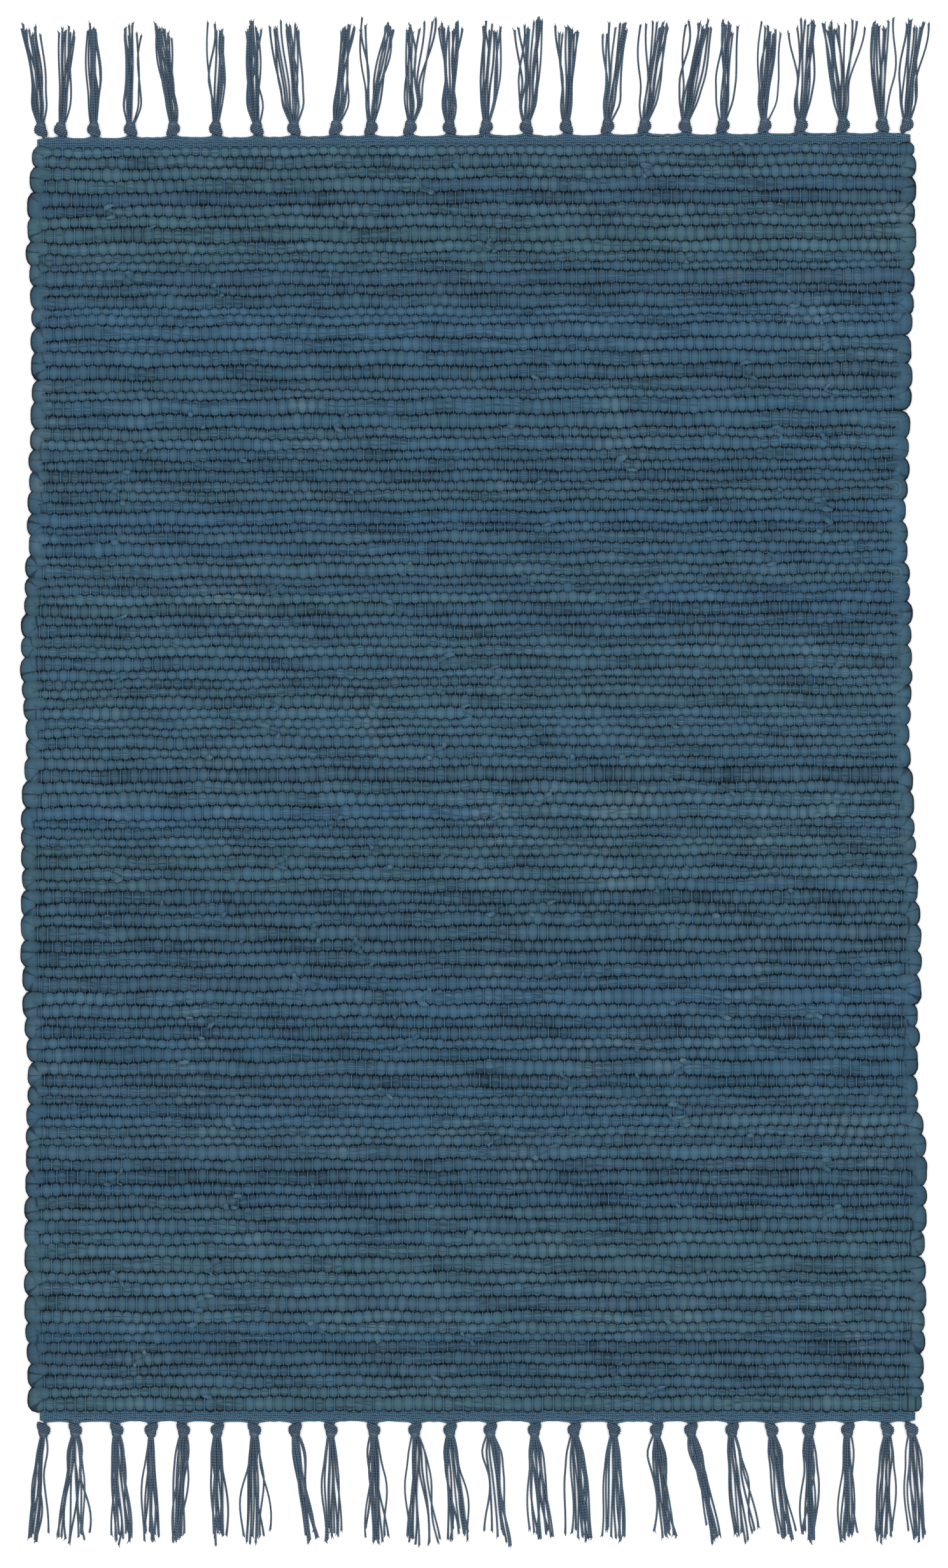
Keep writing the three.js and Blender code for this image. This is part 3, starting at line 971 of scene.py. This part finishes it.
@dataclass
class Tassel:
    """One knotted tassel: warp ends drawn together, knotted, and left to lie on the floor.

    Attributes:
        end: The end that it is on.
        number: Its number from the left.
        yarn: The radius of one yarn.
        knot_back: How far the knot reaches back from its middle.
        knot_front: How far it reaches forward.
        knot_half_width: Half its width.
        knot_height: Its height.
        strands: How many strands the solid has.
        places: How many places a yarn's path has.
        outer: Where single yarns may lie, from 0 at the left to 1 at the right.
        locks: Places of the solid's strands at three distances from the knot, from the left.
        middle: Place of the knot.
        belly: How far the yarns bow out below the knot.
    """

    end: End
    number: int
    yarn: float = 0.63
    knot_back: float = 3.4
    knot_front: float = 3.6
    knot_half_width: float = 5.0
    knot_height: float = 6.3
    strands: int = 5
    places: int = 17
    outer: tuple[float, ...] = (0.0, 0.14, 0.3, 0.7, 0.86, 1.0)
    locks: Array = field(init=False)
    middle: Array = field(init=False)
    belly: float = field(init=False)

    def __post_init__(self) -> None:
        """Reads the solid."""
        points = solid_points(self.node)
        way = self.end.value
        knot = points[points[:, 2] > 3.5]
        self.middle = np.array([knot[:, 0].mean(), way * ((way * points[:, 1]).min() + self.knot_back)])
        away = way * (points[:, 1] - self.middle[1])
        stations = []
        for low, high in ((6, 14), (28, 52), (56, 90)):
            corners = points[(points[:, 2] < 0.05) & (away > low) & (away < high)]
            corners = corners[np.argsort(corners[:, 0])]
            spots = np.linspace(0.5, len(corners) - 1.5, self.strands)
            numbers = np.arange(len(corners))
            stations.append(np.stack([np.interp(spots, numbers, corners[:, axis]) for axis in (0, 1)], 1))
        self.locks = np.stack(stations, 1)
        self.rng = np.random.default_rng(1000 * (way + 2) + self.number)
        self.belly = self.rng.uniform(0.5, 5.0)

    @property
    def node(self) -> str:
        """The solid's name."""
        return f"tassel_{self.end.label}_{self.number:02d}"

    def _lock_at(self, place: float) -> Array:
        """Finds the course of a yarn among the solid's strands.

        Args:
            place: Its place from 0 at the left to 1 at the right.

        Returns:
            Across and along at the three distances.
        """
        spot = place * (len(self.locks) - 1)
        low = min(int(spot), len(self.locks) - 2)
        return (1 - spot + low) * self.locks[low] + (spot - low) * self.locks[low + 1]

    def _yarn(self, place: float, layer: int, sway: float) -> list[Path]:
        """Lays out one yarn with its frayed tip.

        Args:
            place: Its place from 0 at the left to 1 at the right.
            layer: 0 on the floor, 1 on top of others.
            sway: How far it wanders by itself.

        Returns:
            The yarn and its loose fibres.
        """
        rng, way = self.rng, self.end.value
        root = self.middle + [2.6 * (place - 0.5), way * (self.knot_front - 1.4)]
        guides = np.vstack([root, self._lock_at(place)])
        away = way * (guides[:, 1] - self.middle[1])
        along = np.linspace(away[0], away[-1] + rng.uniform(-5.0, 1.5), self.places)
        curve = np.interp(along, away, guides[:, 0])
        smooth = np.convolve(np.pad(curve, 2, mode="edge"), [0.1, 0.2, 0.4, 0.2, 0.1], mode="valid")
        curve = np.where(np.arange(self.places) < 2, curve, smooth)
        curve = curve + self.belly * (place - 0.5) * np.exp(-(((along - 16) / 9) ** 2))
        slack = np.clip((along - away[0]) / 30, 0, 1)
        curve = curve + sway * slack * np.sin(along / rng.uniform(9, 17) + rng.uniform(0, 6.3))
        up = self.yarn + layer * 1.25 * np.clip(1.15 - (along / along[-1]) ** 3, 0, 1)
        up = up + 2.6 * np.clip(1 - (along - away[0]) / 9, 0, 1) ** 1.5
        girth = self.yarn * rng.uniform(0.9, 1.08) * np.append(np.ones(self.places - 2), [1.05, 1.25])
        points = np.stack([curve, self.middle[1] + way * along, up], 1)
        strip = rng.uniform(0, 900)
        paths = [Path(points, girth, np.append(girth[:-1], 0.6 * self.yarn), strip)]
        tip, thin = points[-1], np.linspace(0.34, 0.14, 4)
        for _ in range(2):
            turn = rng.uniform(-0.5, 0.5)
            step = np.linspace(0, rng.uniform(0.9, 2.6), 4)
            across = tip[0] + rng.uniform(-0.6, 0.6) + np.sin(turn) * step + 0.05 * turn * step**2
            out = tip[1] + way * (np.cos(turn) * step - 0.5)
            paths.append(Path(np.stack([across, out, np.linspace(tip[2], 0.35, 4)], 1), thin, thin, strip))
        return paths

    def _knot(self) -> list[Path]:
        """Lays out the knot: a core and four turns of yarn wound aslant round it.

        Returns:
            The core and the turns.
        """
        rng, way = self.rng, self.end.value
        hand = rng.choice([-1.0, 1.0])
        centre = self.knot_height / 2
        away = np.linspace(-self.knot_back - 0.4, self.knot_front + 1.2, 7)
        girth = np.array([0.45, 0.72, 0.8, 0.8, 0.78, 0.72, 0.6])
        core = np.stack([np.full(7, self.middle[0]), self.middle[1] + way * away, np.full(7, centre)], 1)
        core[-1, 2] = 2.4
        paths = [Path(core, girth * (self.knot_half_width - 0.3), girth * (centre - 0.3), rng.uniform(0, 900))]
        turn = np.radians(np.linspace(-205, 205, 25))
        radius = np.full(25, self.yarn * 1.04)
        for number, offset in enumerate(np.linspace(-2.9, 1.0, 4)):
            swell = 1 - 0.09 * abs(number - 1.4)
            across = self.middle[0] + (self.knot_half_width - self.yarn) * swell * np.sin(turn)
            along = self.middle[1] + way * (offset + hand * 1.5 * np.sin(turn) + 0.35 * turn / math.pi)
            up = centre + (centre - self.yarn) * swell * np.cos(turn)
            paths.append(Path(np.stack([across, along, up], 1), radius, radius, rng.uniform(0, 900)))
        return paths

    def build(self, sweep: Sweep, material: bpy.types.Material) -> bpy.types.Object:
        """Makes the tassel.

        Args:
            sweep: The sweeping tree.
            material: The yarn's finish.

        Returns:
            The piece.
        """
        rng = self.rng
        paths = self._knot()
        dense = rng.uniform(0.3, 0.7)
        for number, offset in enumerate(rng.uniform(0.2, 0.4) * np.linspace(-1, 1, rng.integers(5, 7))):
            place = float(np.clip(dense + offset * rng.uniform(0.7, 1), 0, 1))
            paths += self._yarn(place, number % 2, rng.uniform(0.4, 1.0))
        for place in rng.permutation([*self.outer, *rng.uniform(0, 1, 2)])[: rng.integers(4, 7)]:
            paths += self._yarn(float(place), 0, rng.uniform(1.0, 2.8))
        piece = sweep.make(self.node + "_yarns", paths, material, sides=5)
        fit(piece, Slot.FRINGE, self.node)
        return piece


@dataclass
class Heading:
    """The fine woven band that holds one end of the rug.

    Attributes:
        end: The end that it is on.
        rows: The rows of the rug.
        sett: The warp.
        knots: Places of the tassels' knots across the rug.
        picks: How many picks it has.
        clearance: Distance from the rag weft.
        spacing: Distance from pick to pick.
        middle_height: Height of the picks' middle.
        rise: How far a pick rises over one end and dips under the next.
        half_width: Half a pick's width.
        half_height: Half its height.
        overhang: How far its ends reach past the outer knots.
        pull: How far the last pick is drawn out at a knot.
    """

    end: End
    rows: RowPlan
    sett: Sett
    knots: Array
    picks: int = 6
    clearance: float = 0.1
    spacing: float = 1.24
    middle_height: float = 1.9
    rise: float = 0.5
    half_width: float = 0.84
    half_height: float = 0.66
    overhang: float = 2.5
    pull: float = 1.4

    @property
    def node(self) -> str:
        """The solid's name."""
        return f"heading_{self.end.label}"

    @property
    def edge_row(self) -> int:
        """The number of the row next to it."""
        return self.rows.count - 1 if self.end is End.FAR else 0

    def along_at(self, across: Array, depth: Array | float) -> Array:
        """Finds places in the heading.

        Args:
            across: Places across the rug.
            depth: Distance out from the rag weft.

        Returns:
            Places along the rug.
        """
        line = self.rows.count if self.end is End.FAR else 0
        return self.rows.line_at(line, across) + self.end.value * depth

    def build(self, sweep: Sweep, material: bpy.types.Material) -> bpy.types.Object:
        """Makes the picks.

        Args:
            sweep: The sweeping tree.
            material: The yarn's finish.

        Returns:
            The piece.
        """
        rng = np.random.default_rng(40 + self.end.value)
        left, right = self.knots.min() - self.overhang, self.knots.max() + self.overhang
        ends = self.sett.across[:, self.edge_row]
        ends = np.concatenate([[left], ends[(ends > left + 1) & (ends < right - 1)], [right]])
        drawn = np.exp(-(((ends[:, None] - self.knots[None]) / 4.5) ** 2)).max(1) * self.pull
        half_width, half_height = (np.full(len(ends), half) for half in (self.half_width, self.half_height))
        tucked = 0.35 + 0.65 * np.clip(np.minimum(ends - left, right - ends) / 6, 0, 1)
        half_depth = self.clearance + self.spacing * self.picks / 2 - 0.3
        paths = []
        for pick in range(self.picks):
            slack = rng.normal(0, 0.1, len(ends)) + 0.25 * np.sin(ends / rng.uniform(9, 20) + rng.uniform(0, 6))
            out = half_depth + tucked * (self.spacing * (pick + 0.5 - self.picks / 2) + slack)
            along = self.along_at(ends, out + drawn * (pick / (self.picks - 1)) ** 2)
            up = self.middle_height + self.rise * (1 - 2 * ((np.arange(len(ends)) + pick) % 2))
            points = np.stack([ends, along, up], 1)
            paths.append(Path(points, half_width, half_height, 50.0 + pick))
        piece = sweep.make(self.node + "_picks", paths, material, sides=5)
        fit(piece, Slot.HEADING, self.node)
        return piece


@dataclass
class CottonWarp:
    """The cotton warp, which stitches over and under the rows and runs into the knots.

    Attributes:
        rows: The rows.
        sett: The places of its ends.
        weft: The rag weft that it holds.
        headings: The headings that it passes through.
        radius: Radius of the yarn.
        crossing: How far from a row's middle a stitch turns down, as a share of the row's half width.
        sheds: Names of the pieces: each holds every second end.
    """

    rows: RowPlan
    sett: Sett
    weft: RagWeft
    headings: dict[End, Heading]
    radius: float = 0.66
    crossing: float = 0.66
    sheds: tuple[str, str] = ("warp_first_shed", "warp_second_shed")

    def _gather(self, heading: Heading, end: int) -> Array:
        """Runs one end from the rag weft through a heading to the nearest knot.

        Args:
            heading: The heading.
            end: The end's number.

        Returns:
            Places from the weft outwards.
        """
        start = self.sett.across[end, heading.edge_row]
        knot = heading.knots[np.argmin(np.abs(heading.knots - start))]
        depth = heading.spacing * heading.picks + heading.clearance
        drawn = 1.2 * math.exp(-(((start - knot) / 4.5) ** 2))
        across = knot + (start - knot) * np.array([1.0, 0.97, 0.8, 0.25, 0.12])
        depths = np.array([1.2, 0.55 * depth, depth - 1.1, depth + 0.2, depth + 2.2])
        depths = depths + drawn * np.array([0, 0, 0.6, 1, 1])
        return np.stack([across, heading.along_at(across, depths), [1.5, 1.6, 1.4, 1.5, 2.6]], 1)

    def _path(self, end: int) -> Path:
        """Lays out one end from the near knot to the far one.

        Args:
            end: The end's number.

        Returns:
            Its path.
        """
        places = []
        for row in range(self.rows.count):
            across = self.sett.across[end, row]
            along, half = (float(value[0]) for value in self.rows.row_at(row, np.array([across])))
            over = (end + row) % 2 == 0
            up = self.rows.crests[row] - self.weft.groove + 0.2 if over else 0.6
            places += [[across, along + share * half, up] for share in (-self.crossing, self.crossing)]
        near, far = (self._gather(self.headings[side], end) for side in (End.NEAR, End.FAR))
        points = np.vstack([near[::-1], places, far])
        radius = np.full(len(points), self.radius)
        return Path(points, radius, radius, float(end))

    def build(self, sweep: Sweep, material: bpy.types.Material) -> list[bpy.types.Object]:
        """Makes the two sheds.

        Args:
            sweep: The sweeping tree.
            material: The yarn's finish.

        Returns:
            The pieces.
        """
        pieces = []
        for first, name in enumerate(self.sheds):
            paths = [self._path(end) for end in range(first, self.sett.ends, 2)]
            piece = sweep.make(name, paths, material, sides=3)
            fit(piece, Slot.WEAVE, self.rows.node)
            pieces.append(piece)
        return pieces


@dataclass
class Studio:
    """A pale floor, soft light from above and a camera that looks straight down.

    Attributes:
        centre: The middle of the photograph's frame on the floor, in metres.
        frame_height: Height of the frame on the floor.
        lens: Focal length in millimetres, on the default sensor.
        floor_size: Side of the floor.
        floor_colour: The floor's colour.
        softbox: Side of the lamp above the camera.
        softbox_height: Its height above the floor.
        softbox_power: Its power in watts.
        sky: Strength of the even light all round.
    """

    centre: tuple[float, float] = (0.0013, -0.0037)
    frame_height: float = 1.062
    lens: float = 100.0
    floor_size: float = 14.0
    floor_colour: str = "#fbfbfb"
    softbox: float = 3.2
    softbox_height: float = 3.55
    softbox_power: float = 120.0
    sky: float = 0.55

    def build(self) -> None:
        """Sets up the camera, the floor and the lights."""
        scene = bpy.context.scene
        scene.view_settings.view_transform = "Standard"
        scene.view_settings.look = "None"
        camera = bpy.data.objects.new("camera", bpy.data.cameras.new("camera"))
        camera.data.lens = self.lens
        distance = self.frame_height * self.lens / camera.data.sensor_width
        camera.location = (*self.centre, distance)
        scene.collection.objects.link(camera)
        scene.camera = camera
        lamp = bpy.data.lights.new("softbox", "AREA")
        lamp.shape = "SQUARE"
        lamp.size = self.softbox
        lamp.energy = self.softbox_power
        holder = bpy.data.objects.new("softbox", lamp)
        holder.location = (*self.centre, self.softbox_height)
        scene.collection.objects.link(holder)
        world = bpy.data.worlds.new("studio")
        world.use_nodes = True
        background = next(node for node in world.node_tree.nodes if node.type == "BACKGROUND")
        background.inputs["Color"].default_value = linear("#ffffff")
        background.inputs["Strength"].default_value = self.sky
        scene.world = world
        self._floor()

    def _floor(self) -> None:
        """Lays the floor just under the rug."""
        half, under = self.floor_size / 2, -0.3 * MM
        mesh = bpy.data.meshes.new("floor")
        corners = [(-half, -half, under), (half, -half, under), (half, half, under), (-half, half, under)]
        mesh.from_pydata(corners, [], [(0, 1, 2, 3)])
        material = bpy.data.materials.new("painted_floor")
        material.use_nodes = True
        shader = next(node for node in material.node_tree.nodes if node.type == "BSDF_PRINCIPLED")
        shader.inputs["Base Color"].default_value = linear(self.floor_colour)
        shader.inputs["Roughness"].default_value = 0.9
        shader.inputs["Specular IOR Level"].default_value = 0.1
        mesh.materials.append(material)
        floor = bpy.data.objects.new("floor", mesh)
        bpy.context.scene.collection.objects.link(floor)


def spread_of(piece: bpy.types.Object) -> tuple[float, float]:
    """The width and length that a flat piece covers, in metres."""
    flat = np.zeros(len(piece.data.vertices) * 3, np.float32)
    piece.data.vertices.foreach_get("co", flat)
    size = np.ptp(flat.reshape(-1, 3), axis=0)
    return float(size[0]), float(size[1])


def main() -> None:
    """Builds the rug and the studio."""
    logging.basicConfig(level=logging.INFO, format="%(message)s")
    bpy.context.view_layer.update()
    Studio().build()
    sweep = Sweep()
    rows = RowPlan()
    sett = Sett(rows)
    LOG.info("%d rows, %d warp ends", rows.count, sett.ends)
    weft = RagWeft(rows, sett, RagCloth())
    *bands, rag_ends = weft.build(sweep)

    fringe_yarn = CottonYarn("plied_fringe_cotton", light="#4b5e70", dark="#2d3c4b").material()
    heading_yarn = CottonYarn("plied_heading_cotton", light="#49687e", dark="#263b4c", pitch=1.5).material()
    warp_yarn = CottonYarn("plied_warp_cotton", light="#456a84", dark="#3a5b73", pitch=1.5).material()
    tassels = {end: [Tassel(end, number) for number in range(1, TASSELS + 1)] for end in End}
    headings = {
        end: Heading(end, rows, sett, np.array([tassel.middle[0] for tassel in tassels[end]])) for end in End
    }
    trim = [rag_ends, *CottonWarp(rows, sett, weft, headings).build(sweep, warp_yarn)]
    trim += [heading.build(sweep, heading_yarn) for heading in headings.values()]
    trim += [tassel.build(sweep, fringe_yarn) for end in End for tassel in tassels[end]]
    for band in bands:
        spread_of(band)


if __name__ == "__main__":
    main()
